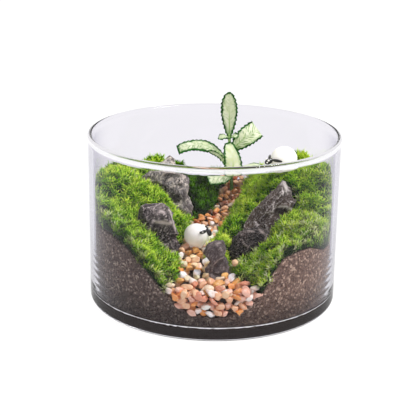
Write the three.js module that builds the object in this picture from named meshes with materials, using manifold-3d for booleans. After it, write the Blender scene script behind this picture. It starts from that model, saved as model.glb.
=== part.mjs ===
// A planted glass bowl: a straight-sided glass with a rounded lip, filled with potting soil that is
// banked up on both sides of a gravel path. Cushions of moss cover the banks, five stones lean in
// them, two small sheep figures stand on them, and a young plant with white and green leaves grows
// at the back of the path. Millimetres, +Z up, origin at the middle of the underside, +Y to the back.
import * as THREE from 'three';
import { mergeVertices } from 'three/addons/utils/BufferGeometryUtils.js';
import Module from 'manifold-3d';

const wasm = await Module();
wasm.setup();

// Driving dimensions of the glass.
const JAR_HEIGHT = 102;
const LIP_RADIUS = 75;
const LIP_THICKNESS = 2.8;
const LIP_HEIGHT = 5;
const BODY_RADIUS = 74.7;
const WALL = 2.6;
const FLOOR = 7;
const FOOT_CORNER = 3.5;
const INNER_CORNER = 2.5;
const ROUND_STEPS = 48;

// Clearance between neighbouring solids, and the soil's own outer radius.
const GAP = 0.3;
const SEAT_GAP = 0.4;
const FILL_RADIUS = BODY_RADIUS - WALL - GAP;
const ABOVE_ALL = 140;
const BELOW_ALL = -10;

// The gravel path: its level rises evenly from the front glass, and faster near the back glass.
const PATH_FRONT_LEVEL = 26.8;
const PATH_RISE = 0.2;
const PATH_BACK_START = 34;
const PATH_BACK_RISE = 0.12;
const PATH_DEPTH_FRONT = 13.5;
const PATH_DEPTH_BACK = 8;
const PATH_BANK_DROP = 2;
const PATH_LEFT = [[-76, -32], [-68, -27], [-60, -21.5], [-50, -19.5], [-35, -19.5], [-20, -18.5],
  [0, -15.5], [10, -13], [17, -6], [24, 0], [34, 3.5], [45, 5], [76, 5]];
const PATH_RIGHT = [[-76, 34], [-60, 22], [-50, 6], [-35, -3.5], [-22, -4], [-14, 2],
  [0, 6.5], [11, 9], [19, 12], [27, 17], [38, 19.5], [50, 20.5], [67, 24], [76, 26]];

// Soil level where it meets the glass, as [angle in degrees from +X, height].
const SOIL_AT_GLASS = [[-180, 57], [-163, 51], [-143, 53], [-133, 48], [-126, 44], [-122, 38],
  [-118, 34], [-113, 29.5], [-108, 23.5], [-103, 19.5], [-95, 17.5], [-87, 16], [-79, 16.5],
  [-73, 19.5], [-67, 27], [-63, 37], [-56, 46], [-49, 48], [-39, 47], [-26, 40], [-12, 42],
  [0, 50], [30, 58], [60, 56], [90, 44], [120, 52], [150, 58], [180, 57]];

// Moss level at chosen spots of the two banks, as [x, y, height].
const MOSS_SPOTS = [
  [-70, 0, 72], [-62, -2, 75], [-56, 2, 74], [-46, 0, 69], [-34, -3, 61], [-24, -6, 52], [-18, -6, 46],
  [-42, 10, 62], [-65, -28, 65], [-56, -28, 59], [-40, -20, 56], [-55, -46, 56], [-44, -44, 51],
  [-40, -58, 45],
  [-31, -50, 41], [-26, -60, 33], [-66, 26, 72], [-50, 20, 69], [-48, 46, 63], [-38, 52, 69],
  [-25, 54, 66.5], [-20, 35, 60], [-8, 46, 58], [-10, 22, 48], [1, 40, 52], [-17, 62, 55], [-2, 64, 51],
  [58, 44, 76], [51, 12, 74], [42, 12, 72.3], [68, 20, 77], [67, 4, 78], [29, 25, 63], [21, 25, 56],
  [13, -6, 48], [23, 3, 56], [40, 30, 69], [32, 46, 62], [30, 60, 60], [5, -28, 46], [22, -44, 38],
  [15, -54, 33], [32, -54, 38], [41, -44, 49], [56, -32, 57], [48, -24, 57], [30, -14, 43],
  [22, -30, 38], [14, -37, 32], [19, -38, 35.5], [26, -38, 41], [33, -38, 48.5],
  [66, -26, 53], [55, -46, 54], [46, -55, 52], [38, -61, 45], [69, -14, 60], [62, -10, 65],
];
const SPOT_SOFTNESS = 9;
const MOSS_EDGE_LIFT = 3;
const MOSS_DEPTH = 10;
const MOSS_DEPTH_AT_PATH = 5;
const GLASS_BLEND_START = 52;

// Moss cushions, as plan outlines whose outer corners run past the glass.
const MOSS_CUSHIONS = {
  moss_left_ridge: [[-84, 24], [-60, 22], [-46, 20], [-20, 20], [-14, 8], [-6, -4], [-14, -24],
    [-46, -27], [-63, -33], [-84, -40]],
  moss_left_front: [[-84, -41.5], [-63, -34.4], [-46, -28.4], [-14, -25.4], [-10, -40], [-16, -60],
    [-24, -84], [-66, -64]],
  moss_back_left: [[-84, 25.5], [-60, 23.5], [-46, 21.5], [-31, 21.5], [-31, 84], [-84, 84]],
  moss_back_centre: [[-29.5, 21.5], [-19, 21.5], [-12, 10], [-2, 12], [12, 30], [12, 84], [-29.5, 84]],
  moss_right_strip: [[-8, -14], [14, -21], [33, -21], [33, -10], [22, -5], [14, 8], [6, 14], [-8, 10]],
  moss_right_back: [[2, 16], [15, 9.8], [23, -3.6], [34, -8.6], [50, -12], [84, -26], [84, 84],
    [10, 84], [6, 40]],
  moss_right_front: [[14, -22.4], [34, -22.4], [35, -11.5], [49, -13.6], [84, -28], [84, -60],
    [40, -84], [24, -84], [10, -58], [12.5, -44], [12.5, -33]],
  moss_centre: [[-9, -16.5], [13, -23], [11, -33], [11.5, -43], [-4, -43], [-9, -30]],
};
const SHOOT_PITCH = 3.5;
const SHOOT_RISE = 3.8;
const CUSHION_EDGE = 2;
const CUSHION_ROUND = 4;
const PATH_SIDE_ROUND = 8;

// Stones, as outlines [x, height] in an upright plane at y = middle, and their thickness along Y.
const STONES = {
  stone_back_left: { middle: 20, thickness: 19, lean: 0.15, outline: [[-48, 63], [-41, 70.5],
    [-32.5, 75.8], [-27.5, 80.5], [-22, 76], [-15.5, 65], [-15.5, 56], [-11.5, 45], [-15, 37],
    [-28, 42], [-42, 52]] },
  stone_front_left: { middle: -26, thickness: 13, lean: 0.2, outline: [[-46, 55], [-42, 63],
    [-35, 64.5], [-27.5, 65], [-24, 59], [-20.5, 47], [-18.5, 36], [-21, 29], [-31, 37], [-40, 46]] },
  stone_centre: { middle: -49, thickness: 8.5, lean: 0.12, outline: [[-5, 44], [-3, 50], [0.5, 51.2],
    [5.5, 51.4], [8, 48], [9.5, 41], [11, 35], [9.5, 27], [3, 22], [-3.5, 31]] },
  stone_right_large: { middle: -10, thickness: 17, lean: 0.3, outline: [[15.5, 43], [21, 53],
    [29, 61.5], [36.5, 68], [42, 73], [46, 69], [49, 64], [47.5, 55], [40, 46], [29, 38], [18, 37]] },
  stone_right_low: { middle: -31, thickness: 13, lean: 0.1, outline: [[9.5, 35.5], [10.6, 42],
    [11.8, 47], [14, 50], [20, 52], [26.5, 53], [32, 51], [34.5, 47], [34, 38], [25, 30], [14, 28]] },
};
const STONE_LAYERS = [[-1, 0.32], [-0.95, 0.7], [-0.55, 0.94], [0.1, 1], [0.65, 0.9], [1, 0.55]];
const STONE_ROUGHNESS = 0.7;

// Gravel pebbles, as half-lengths of a rounded grain.
const PEBBLE_SPACING = 6.5;
const PEBBLE_SIZE = [4.6, 3.9, 2.8];
const PEBBLE_TRIES = 4000;

// One pebble has rolled aside onto the moss.
const STRAY_PEBBLE = { x: 12.6, y: -47, level: 37.8, size: [2.6, 2.2, 1.9] };

// Sheep figures: a ball body, where it stands, the way it looks, how far the head is ahead of the
// middle of the body and above it, and half the length of an ear, in parts of the body's radius, and
// how far the head leans back.
const SHEEP = [
  { name: 'sheep_front', radius: 7.4, x: -9.7, y: -22, stands: 37.8, turn: -15, ahead: 1, above: 0.36,
    ear: 0.38, lean: 0.52 },
  { name: 'sheep_back', radius: 8.4, x: 42.2, y: 12, stands: 74.1, turn: 205, ahead: 1.22, above: -0.03,
    ear: 0.47, lean: 1.25 },
];
const BODY_HALVES = [1, 0.9, 0.95];
const EAR_ROOT = [-0.1, 0.19];
const EAR_SPREAD = 0.98;

// The plant: a stem with leaves, each leaf a midrib of three points and the way its width lies.
const STEM_ROUTE = [[12, 47, 38], [11.6, 46, 52], [10.6, 44.5, 66], [9.6, 43, 79], [9.1, 42, 90]];
const STEM_RADIUS = 1.2;
const LEAF_THICKNESS = 0.7;
const LEAF_STEPS = 10;
const LEAVES = [
  { width: 10.4, cup: 0.16, fullest: 0.62, tip: 0.2, across: [1, -0.1, 0],
    rib: [[9.1, 42, 87.5], [9.2, 43.5, 103], [8.4, 40, 117.2]] },
  { width: 12.6, cup: 0.1, fullest: 0.75, tip: 0.95, across: [0.7, -0.25, -0.67],
    rib: [[10.4, 42.8, 78.5], [18, 38.5, 88.5], [26.7, 45, 92.6]] },
  { width: 8.2, cup: 0.12, fullest: 0.6, tip: 0.9, across: [-0.15, -0.72, -0.66],
    rib: [[10.2, 44, 69], [-4.5, 37, 91], [-23.2, 38, 80]] },
  { width: 11.4, cup: 0.14, fullest: 0.38, tip: 0.3, across: [1, 0.1, 0],
    rib: [[11, 45, 60.5], [14, 32.5, 71.5], [8.1, 36, 86]] },
  { width: 9.6, cup: 0.1, fullest: 0.5, tip: 0.6, across: [0.1, -0.72, -0.69],
    rib: [[11, 44.5, 59.4], [5, 40.5, 62.8], [-4, 36, 60.6]] },
  { width: 7, cup: 0.1, fullest: 0.6, tip: 0.15, across: [0.1, 1, 0.1],
    rib: [[10.9, 44.8, 62], [20.5, 46, 70.8], [30.8, 48, 67.6]] },
  { width: 3.8, cup: 0.1, fullest: 0.6, tip: 0.3, across: [0.2, -0.7, -0.5],
    rib: [[9.2, 42, 87], [5.5, 40.5, 90.4], [2.2, 40, 87]] },
  { width: 3.8, cup: 0.1, fullest: 0.6, tip: 0.3, across: [-0.2, -0.7, -0.5],
    rib: [[9.2, 42, 87], [12.8, 40.5, 90.4], [14.6, 40, 88]] },
  { width: 3.2, cup: 0.1, fullest: 0.5, tip: 0.3, across: [0.75, -0.2, 0.6],
    rib: [[10.2, 43.8, 65.5], [4.4, 38.5, 78.2], [-4, 37, 80.1]] },
];

// A repeatable random draw between 0 and 1.
function seeded(seed) {
  let state = seed;
  return () => {
    state = (state * 1664525 + 1013904223) % 4294967296;
    return state / 4294967296;
  };
}

// The value at a place along a table of [place, value] rows, on straight lines between them.
function readTable(table, place) {
  const next = table.findIndex((row) => row[0] >= place);
  if (next < 0) return table[table.length - 1][1];
  if (next === 0) return table[0][1];
  const [from, low] = table[next - 1];
  const [to, high] = table[next];
  return low + (high - low) * (place - from) / (to - from);
}

// Ground levels.

function pathLevel(y) {
  const steeper = PATH_BACK_RISE * Math.max(0, y - PATH_BACK_START);
  return PATH_FRONT_LEVEL + PATH_RISE * (y + FILL_RADIUS) + steeper;
}

function pathDepth(y) {
  const back = (y + FILL_RADIUS) / (2 * FILL_RADIUS);
  return PATH_DEPTH_FRONT + (PATH_DEPTH_BACK - PATH_DEPTH_FRONT) * back;
}

// How far a point lies outside the path, in millimetres along X; negative on the path.
function beyondPath(x, y) {
  return Math.max(readTable(PATH_LEFT, y) - x, x - readTable(PATH_RIGHT, y));
}

const edgeSpots = [];
for (let y = -72; y <= 72; y += 8) {
  edgeSpots.push([readTable(PATH_LEFT, y), y, pathLevel(y) + MOSS_EDGE_LIFT]);
  edgeSpots.push([readTable(PATH_RIGHT, y), y, pathLevel(y) + MOSS_EDGE_LIFT]);
}
const levelSpots = [...MOSS_SPOTS, ...edgeSpots];

// The moss level, blended from the spots around a point, the nearest counting most.
function mossLevel(x, y) {
  let total = 0;
  let weights = 0;
  for (const [spotX, spotY, level] of levelSpots) {
    const distance = (x - spotX) ** 2 + (y - spotY) ** 2;
    const weight = 1 / (distance + SPOT_SOFTNESS) ** 2;
    total += weight * level;
    weights += weight;
  }
  return total / weights;
}

function soilLevel(x, y) {
  const beyond = beyondPath(x, y);
  if (beyond < 0) {
    const half = (readTable(PATH_RIGHT, y) - readTable(PATH_LEFT, y)) / 2;
    const hollow = 1 - (1 + beyond / half) ** 2.5;
    return pathLevel(y) - PATH_BANK_DROP - (pathDepth(y) - PATH_BANK_DROP) * hollow;
  }
  const covered = THREE.MathUtils.lerp(MOSS_DEPTH_AT_PATH, MOSS_DEPTH, Math.min(1, beyond / 12));
  const inland = mossLevel(x, y) - covered;
  const angle = THREE.MathUtils.radToDeg(Math.atan2(y, x));
  const nearGlass = THREE.MathUtils.smoothstep(Math.hypot(x, y), GLASS_BLEND_START, FILL_RADIUS);
  const edge = Math.min(1, beyond / 6);
  return THREE.MathUtils.lerp(inland, readTable(SOIL_AT_GLASS, angle), nearGlass * edge);
}

// Solids and meshes.

// A closed geometry as a solid, its faces turned outward.
function toSolid(geometry) {
  const loose = geometry.index ? geometry.toNonIndexed() : geometry.clone();
  loose.deleteAttribute('normal');
  loose.deleteAttribute('uv');
  const merged = mergeVertices(loose, 1e-4);
  const corners = merged.index.array;
  const points = merged.attributes.position;
  const triangles = [];
  let volume = 0;
  const [a, b, c] = [new THREE.Vector3(), new THREE.Vector3(), new THREE.Vector3()];
  for (let start = 0; start < corners.length; start += 3) {
    const [i, j, k] = corners.slice(start, start + 3);
    if (i === j || j === k || k === i) continue;
    triangles.push(i, j, k);
    volume += a.fromBufferAttribute(points, i).dot(
      b.fromBufferAttribute(points, j).cross(c.fromBufferAttribute(points, k)));
  }
  if (volume < 0) triangles.reverse();
  return new wasm.Manifold(new wasm.Mesh({
    numProp: 3,
    vertProperties: new Float32Array(points.array),
    triVerts: new Uint32Array(triangles),
  }));
}

// The largest single body of a solid, without loose scraps or sealed hollows.
function mainBody(solid) {
  const bodies = solid.decompose();
  return bodies.reduce((best, body) => (body.volume() > best.volume() ? body : best));
}

function toGeometry(solid) {
  const mesh = solid.getMesh();
  const geometry = new THREE.BufferGeometry();
  geometry.setAttribute('position', new THREE.BufferAttribute(new Float32Array(mesh.vertProperties), 3));
  geometry.setIndex(new THREE.BufferAttribute(new Uint32Array(mesh.triVerts), 1));
  geometry.computeVertexNormals();
  return geometry;
}

function geometryOf(points, triangles) {
  const geometry = new THREE.BufferGeometry();
  geometry.setAttribute('position', new THREE.Float32BufferAttribute(points.flat(), 3));
  geometry.setIndex(triangles);
  return geometry;
}

// A profile of [radius, height] points turned round the upright axis.
function turned(profile, steps = ROUND_STEPS) {
  const geometry = new THREE.LatheGeometry(profile.map(([r, z]) => new THREE.Vector2(r, z)), steps);
  return geometry.rotateX(Math.PI / 2);
}

// Points of a round corner, by its centre, radius and first and last angle in degrees.
function corner(radius, height, size, from, to, steps) {
  return Array.from({ length: steps + 1 }, (_, step) => {
    const angle = THREE.MathUtils.degToRad(from + (to - from) * step / steps);
    return [radius + size * Math.cos(angle), height + size * Math.sin(angle)];
  });
}

// An upright prism over a plan outline, taller than everything else.
function upright(outline) {
  const shape = new THREE.Shape(outline.map(([x, y]) => new THREE.Vector2(x, y)));
  const geometry = new THREE.ExtrudeGeometry(shape, { depth: ABOVE_ALL - BELOW_ALL, bevelEnabled: false });
  return toSolid(geometry.translate(0, 0, BELOW_ALL));
}

// A block over a grid of near-equal triangles: its top follows levelAt, its foot is level.
function terrain({ left, right, front, back, pitch, levelAt }) {
  const rowPitch = pitch * Math.sqrt(3) / 2;
  const columns = Math.ceil((right - left) / pitch) + 1;
  const rows = Math.ceil((back - front) / rowPitch) + 1;
  const points = [];
  const triangles = [];
  for (const onTop of [true, false]) {
    for (let row = 0; row < rows; row++) {
      for (let column = 0; column < columns; column++) {
        const x = left + (column + (row % 2) / 2) * pitch;
        const y = front + row * rowPitch;
        points.push([x, y, onTop ? levelAt(x, y, column, row) : BELOW_ALL]);
      }
    }
  }
  const at = (column, row) => row * columns + column;
  const under = rows * columns;
  const face = (i, j, k) => triangles.push(i, j, k, under + i, under + k, under + j);
  for (let row = 0; row < rows - 1; row++) {
    for (let column = 0; column < columns - 1; column++) {
      const [a, b] = [at(column, row), at(column + 1, row)];
      const [c, d] = [at(column, row + 1), at(column + 1, row + 1)];
      if (row % 2) {
        face(a, b, d);
        face(a, d, c);
      } else {
        face(a, b, c);
        face(b, d, c);
      }
    }
  }
  const rim = [];
  for (let column = 0; column < columns - 1; column++) rim.push(at(column, 0));
  for (let row = 0; row < rows - 1; row++) rim.push(at(columns - 1, row));
  for (let column = columns - 1; column > 0; column--) rim.push(at(column, rows - 1));
  for (let row = rows - 1; row > 0; row--) rim.push(at(0, row));
  rim.forEach((i, place) => {
    const j = rim[(place + 1) % rim.length];
    triangles.push(i, under + i, j, j, under + i, under + j);
  });
  return toSolid(geometryOf(points, triangles));
}

// Glass and soil.

function makeJar() {
  const inner = BODY_RADIUS - WALL;
  const lipRound = LIP_THICKNESS / 2;
  return toSolid(turned([
    [0, 0],
    ...corner(BODY_RADIUS - FOOT_CORNER, FOOT_CORNER, FOOT_CORNER, -90, 0, 3),
    [BODY_RADIUS, JAR_HEIGHT - LIP_HEIGHT],
    ...corner(LIP_RADIUS - lipRound, JAR_HEIGHT - lipRound, lipRound, -40, 180, 5),
    [inner, JAR_HEIGHT - LIP_HEIGHT],
    ...corner(inner - INNER_CORNER, FLOOR + INNER_CORNER, INNER_CORNER, 0, -90, 3),
    [0, FLOOR],
  ]));
}

// Everything inside the glass that soil, moss and gravel may fill.
function makeFillRoom() {
  const cornerSize = INNER_CORNER;
  return toSolid(turned([
    [0, FLOOR + GAP],
    ...corner(FILL_RADIUS - cornerSize, FLOOR + GAP + cornerSize, cornerSize, -90, 0, 3),
    [FILL_RADIUS, ABOVE_ALL - 1],
    [0, ABOVE_ALL - 1],
  ]));
}

const GROUND_GRID = { left: -78, right: 78, front: -77, back: 77, pitch: 7.5 };

function groundBlock(raise) {
  return terrain({ ...GROUND_GRID, levelAt: (x, y) => soilLevel(x, y) + raise });
}

// Stones.

// A stone lofted through scaled copies of its outline, with each point moved a little at random.
function stoneGeometry({ middle, thickness, lean, outline }, seed, grow) {
  const random = seeded(seed);
  const centre = outline.reduce((sum, [x, z]) => [sum[0] + x, sum[1] + z], [0, 0])
    .map((sum) => sum / outline.length);
  const ring = outline.flatMap(([x, z], place) => {
    const [nextX, nextZ] = outline[(place + 1) % outline.length];
    return [[x, z], [(x + nextX) / 2, (z + nextZ) / 2]];
  });
  const points = [];
  const rough = () => (random() - 0.5) * 2 * STONE_ROUGHNESS;
  const place = (x, z, across, scale) => {
    const away = [(x - centre[0]) * scale, (z - centre[1]) * scale];
    const reach = Math.hypot(...away) || 1;
    const wider = 1 + (grow + rough() * Math.min(1, reach / 12)) / Math.max(reach, 3);
    const height = centre[1] + away[1] * wider;
    const depth = across * (thickness / 2 + grow) + rough() * 0.8;
    points.push([centre[0] + away[0] * wider, middle + depth + lean * (height - centre[1]), height]);
  };
  for (const [across, scale] of STONE_LAYERS) {
    for (const [x, z] of ring) place(x, z, across, scale);
  }
  place(...centre, -0.98, 1);
  place(...centre, 1.03, 1);
  const count = ring.length;
  const triangles = [];
  for (let layer = 0; layer < STONE_LAYERS.length - 1; layer++) {
    for (let i = 0; i < count; i++) {
      const j = (i + 1) % count;
      const [a, b] = [layer * count + i, layer * count + j];
      triangles.push(a, b, b + count, a, b + count, a + count);
    }
  }
  const last = STONE_LAYERS.length - 1;
  for (let i = 0; i < count; i++) {
    const j = (i + 1) % count;
    triangles.push(j, i, points.length - 2, last * count + i, last * count + j, points.length - 1);
  }
  return geometryOf(points, triangles);
}

// Moss.

function distanceToOutline(outline, x, y) {
  let nearest = Infinity;
  outline.forEach(([fromX, fromY], place) => {
    const [toX, toY] = outline[(place + 1) % outline.length];
    const [runX, runY] = [toX - fromX, toY - fromY];
    const along = THREE.MathUtils.clamp(
      ((x - fromX) * runX + (y - fromY) * runY) / (runX ** 2 + runY ** 2), 0, 1);
    nearest = Math.min(nearest, Math.hypot(x - fromX - along * runX, y - fromY - along * runY));
  });
  return nearest;
}

// A quarter-round shoulder: 0 at an edge, 1 once the given width away from it.
function shoulder(distance, width) {
  const short = 1 - THREE.MathUtils.clamp(distance / width, 0, 1);
  return Math.sqrt(1 - short ** 2);
}

// One cushion: its top is set with pointed shoots, one to every three points of its grid.
function makeCushion(outline, seed) {
  const random = seeded(seed);
  const levelAt = (x, y, column, row) => {
    const ground = soilLevel(x, y);
    const full = Math.max(mossLevel(x, y) - ground, MOSS_DEPTH_AT_PATH);
    const round = Math.min(shoulder(distanceToOutline(outline, x, y), CUSHION_ROUND),
      shoulder(beyondPath(x, y), PATH_SIDE_ROUND));
    const isShoot = (column - Math.floor(row / 2) - row + 3000) % 3 === 0;
    const shoot = isShoot ? SHOOT_RISE * (0.7 + 0.6 * random()) : -0.4 * random();
    const body = Math.max(full - CUSHION_EDGE - SHOOT_RISE / 2, 1) * round;
    return ground + CUSHION_EDGE + body + shoot * (0.35 + 0.65 * round);
  };
  const within = (value) => THREE.MathUtils.clamp(value, -FILL_RADIUS - 4, FILL_RADIUS + 4);
  const [xs, ys] = [outline.map((point) => within(point[0])), outline.map((point) => within(point[1]))];
  const block = terrain({ left: Math.min(...xs) - 2, right: Math.max(...xs) + 2,
    front: Math.min(...ys) - 2, back: Math.max(...ys) + 2, pitch: SHOOT_PITCH, levelAt });
  return block.intersect(upright(outline));
}

// Gravel.

function pathOutline(margin) {
  const left = [];
  const right = [];
  for (let y = -78; y <= 78; y += 6) {
    left.push([readTable(PATH_LEFT, y) - margin, y]);
    right.push([readTable(PATH_RIGHT, y) + margin, y]);
  }
  return [...right, ...left.reverse()];
}

function makePebble(size, random) {
  const pebble = new THREE.IcosahedronGeometry(1, 0);
  pebble.rotateX(random() * Math.PI).rotateY(random() * Math.PI);
  pebble.scale(...size.map((half) => half * (0.8 + 0.4 * random())));
  pebble.rotateX((random() - 0.5) * 0.9).rotateZ(random() * Math.PI);
  return pebble;
}

// Places for pebbles on the path, none nearer to another than the spacing.
function pebblePlaces(random) {
  const places = [];
  for (let attempt = 0; attempt < PEBBLE_TRIES; attempt++) {
    const x = (random() - 0.5) * 80;
    const y = (random() - 0.5) * 2 * (FILL_RADIUS - 2);
    const free = places.every((other) => Math.hypot(x - other[0], y - other[1]) > PEBBLE_SPACING);
    if (free && beyondPath(x, y) < -1 && Math.hypot(x, y) < FILL_RADIUS - 1.5) places.push([x, y]);
  }
  return places;
}

function makeGravel() {
  const random = seeded(41);
  const bed = terrain({ ...GROUND_GRID, pitch: 40, levelAt: (x, y) => pathLevel(y) });
  const grains = pebblePlaces(random).map(([x, y]) => toSolid(
    makePebble(PEBBLE_SIZE, random).translate(x, y, pathLevel(y) + 0.4 + random())));
  return grains.reduce((heap, grain) => heap.add(grain), bed).intersect(upright(pathOutline(0)));
}

// Sheep figures.

function ball(halfX, halfY, halfZ, columns, rows) {
  return new THREE.SphereGeometry(1, columns, rows).rotateX(Math.PI / 2).scale(halfX, halfY, halfZ);
}

// The body stands on four short feet; sizes are in parts of its radius, grown by a clearance.
function sheepBody(radius, grow) {
  const part = (halfX, halfY, halfZ, columns, rows, ...place) => toSolid(
    ball(...[halfX, halfY, halfZ].map((half) => half * radius + grow), columns, rows)
      .translate(...place.map((along) => along * radius)));
  const foot = (x, y) => part(0.24, 0.24, 0.3, 6, 4, x, y, 0.28);
  return [foot(0.34, 0.2), foot(0.34, -0.2), foot(-0.34, 0.2), foot(-0.34, -0.2)]
    .reduce((whole, each) => whole.add(each), part(...BODY_HALVES, 12, 8, 0, 0, 1));
}

// The head leans back at the top, and a long ear lies back from each side of it.
function sheepHead({ radius, ahead, above, ear, lean }, grow) {
  const part = (halfX, halfY, halfZ, columns, rows) => ball(
    ...[halfX, halfY, halfZ].map((half) => half * radius + grow), columns, rows);
  const place = (x, y, z) => [(ahead + x) * radius, y * radius, (1 + above + z) * radius];
  const head = toSolid(part(0.23, 0.22, 0.36, 9, 6).rotateY(-lean).translate(...place(0, 0, 0)));
  const back = EAR_ROOT[0] - ear * Math.cos(EAR_SPREAD);
  const out = EAR_ROOT[1] + ear * Math.sin(EAR_SPREAD);
  const onSide = (side) => toSolid(part(ear, 0.12, 0.13, 7, 4)
    .rotateZ(-side * EAR_SPREAD).translate(...place(back, side * out, 0.16)));
  return head.add(onSide(1)).add(onSide(-1));
}

// Plant.

// Share of a leaf's full width at a place along it: widest at the place given, down to the tip's share.
function leafWidth(along, fullest, tip) {
  if (along < fullest) return Math.sin(Math.PI / 2 * (0.06 + 0.94 * along / fullest)) ** 0.75;
  const past = (along - fullest) / (1 - fullest);
  return tip + (1 - tip) * (1 - past ** 2.2) ** 0.6;
}

// One leaf blade: cupped along its midrib, with a notched edge, and split alike on both faces.
function leafGeometry({ width, cup, fullest, tip, across, rib }) {
  const curve = new THREE.QuadraticBezierCurve3(...rib.map((point) => new THREE.Vector3(...point)));
  const lanes = [-1, 0, 1];
  const points = [];
  for (let step = 0; step <= LEAF_STEPS; step++) {
    const along = step / LEAF_STEPS;
    const middle = curve.getPoint(along);
    const ahead = curve.getTangent(along);
    const wide = new THREE.Vector3(...across);
    const side = wide.clone().addScaledVector(ahead, -ahead.dot(wide)).normalize();
    const up = new THREE.Vector3().crossVectors(side, ahead);
    const notch = step % 2 ? 1.06 : 0.94;
    const half = Math.max(width / 2 * leafWidth(along, fullest, tip), 0.5) * notch;
    for (const face of [1, -1]) {
      for (const lane of lanes) {
        const lift = cup * half * lane ** 2 + face * LEAF_THICKNESS / 2;
        points.push(middle.clone().addScaledVector(side, half * lane).addScaledVector(up, lift).toArray());
      }
    }
  }
  return geometryOf(points, leafTriangles(lanes.length));
}

// Triangles of a blade whose steps each hold a row of upper points and then a row of lower ones.
function leafTriangles(wide) {
  const ring = wide * 2;
  const triangles = [];
  const quad = (a, b, c, d) => triangles.push(a, b, c, a, c, d);
  for (let step = 0; step < LEAF_STEPS; step++) {
    const [here, next] = [step * ring, (step + 1) * ring];
    for (let lane = 0; lane < wide - 1; lane++) {
      quad(here + lane, here + lane + 1, next + lane + 1, next + lane);
      const [low, far] = [here + wide + lane, next + wide + lane];
      triangles.push(low, far + 1, low + 1, low, far, far + 1);
    }
    quad(here + wide, here, next, next + wide);
    quad(here + wide - 1, here + ring - 1, next + ring - 1, next + wide - 1);
  }
  const last = LEAF_STEPS * ring;
  for (let lane = 0; lane < wide - 1; lane++) {
    quad(lane, wide + lane, wide + lane + 1, lane + 1);
    quad(last + lane, last + lane + 1, last + wide + lane + 1, last + wide + lane);
  }
  return triangles;
}

function stemGeometry(radius) {
  const route = new THREE.CatmullRomCurve3(STEM_ROUTE.map((point) => new THREE.Vector3(...point)));
  const section = new THREE.Shape().absarc(0, 0, radius, 0, Math.PI * 2);
  return new THREE.ExtrudeGeometry(section, { steps: 9, curveSegments: 4, extrudePath: route });
}

function makePlant() {
  return LEAVES.reduce((plant, leaf) => plant.add(toSolid(leafGeometry(leaf))),
    toSolid(stemGeometry(STEM_RADIUS)));
}

// Assembly.

function paint(color, roughness) {
  return new THREE.MeshStandardMaterial({ color, roughness, metalness: 0, flatShading: true });
}

const group = new THREE.Group();

function addNode(name, solid, material) {
  const mesh = new THREE.Mesh(toGeometry(mainBody(solid)), material);
  mesh.name = name;
  group.add(mesh);
}

const glass = paint('#e6efec', 0.04);
glass.transparent = true;
glass.opacity = 0.3;
addNode('glass_jar', makeJar(), glass);

const room = makeFillRoom();
const raisedGround = groundBlock(SEAT_GAP);
const stemHole = toSolid(stemGeometry(STEM_RADIUS + GAP));
const placeSheep = (solid, { x, y, stands, turn }) => solid.rotate(0, 0, turn).translate(x, y, stands);

const stoneNames = Object.keys(STONES);
const stones = stoneNames.map((name, place) => toSolid(stoneGeometry(STONES[name], place + 11, 0)));
const pockets = stoneNames.map((name, place) => toSolid(stoneGeometry(STONES[name], place + 11, SEAT_GAP)));
const sheepPockets = SHEEP.flatMap((sheep) => [sheepBody(sheep.radius, GAP), sheepHead(sheep, GAP)]
  .map((solid) => placeSheep(solid, sheep)));
const stray = (grow) => toSolid(makePebble(STRAY_PEBBLE.size.map((half) => half + grow), seeded(5))
  .translate(STRAY_PEBBLE.x, STRAY_PEBBLE.y, STRAY_PEBBLE.level));
const clearings = [...pockets, ...sheepPockets, stemHole, stray(GAP)]
  .reduce((all, each) => all.add(each));

addNode('soil', room.intersect(groundBlock(0)).subtract(clearings), paint('#57473d', 0.95));
addNode('gravel_path', makeGravel().intersect(room).subtract(raisedGround).subtract(clearings),
  paint('#d9a27c', 0.6));

const pathClearing = upright(pathOutline(GAP));
Object.entries(MOSS_CUSHIONS).forEach(([name, outline], place) => {
  const cushion = makeCushion(outline, place + 71).intersect(room);
  addNode(name, cushion.subtract(pathClearing).subtract(raisedGround).subtract(clearings),
    paint('#5e9a26', 0.9));
});

stones.forEach((stone, place) => {
  const earlier = pockets.slice(0, place);
  addNode(stoneNames[place], earlier.reduce((rest, pocket) => rest.subtract(pocket), stone),
    paint('#5b5556', 0.85));
});

addNode('stray_pebble', stray(0).subtract(pockets[stoneNames.indexOf('stone_centre')]),
  paint('#d9a27c', 0.6));

for (const sheep of SHEEP) {
  const { radius } = sheep;
  addNode(`${sheep.name}_body`, placeSheep(sheepBody(radius, 0), sheep), paint('#f3f1ea', 0.35));
  const head = sheepHead(sheep, 0).subtract(sheepBody(radius, GAP));
  addNode(`${sheep.name}_head`, placeSheep(head, sheep), paint('#1d1b1c', 0.4));
}

addNode('leafy_stem', makePlant(), paint('#a9cf86', 0.5));

export default group;
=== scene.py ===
# A planted glass bowl: soil banked up on both sides of a gravel path, moss on the banks, five
# stones, two small sheep figures and a young plant with white and green leaves.
# Sizes and places below are in millimetres; MM turns them into Blender's metres.
from collections import namedtuple
from math import cos, dist, exp, hypot, pi, radians, sin

import bmesh
import bpy
import numpy as np
from mathutils import Matrix, Vector, noise
from mathutils.bvhtree import BVHTree


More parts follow.
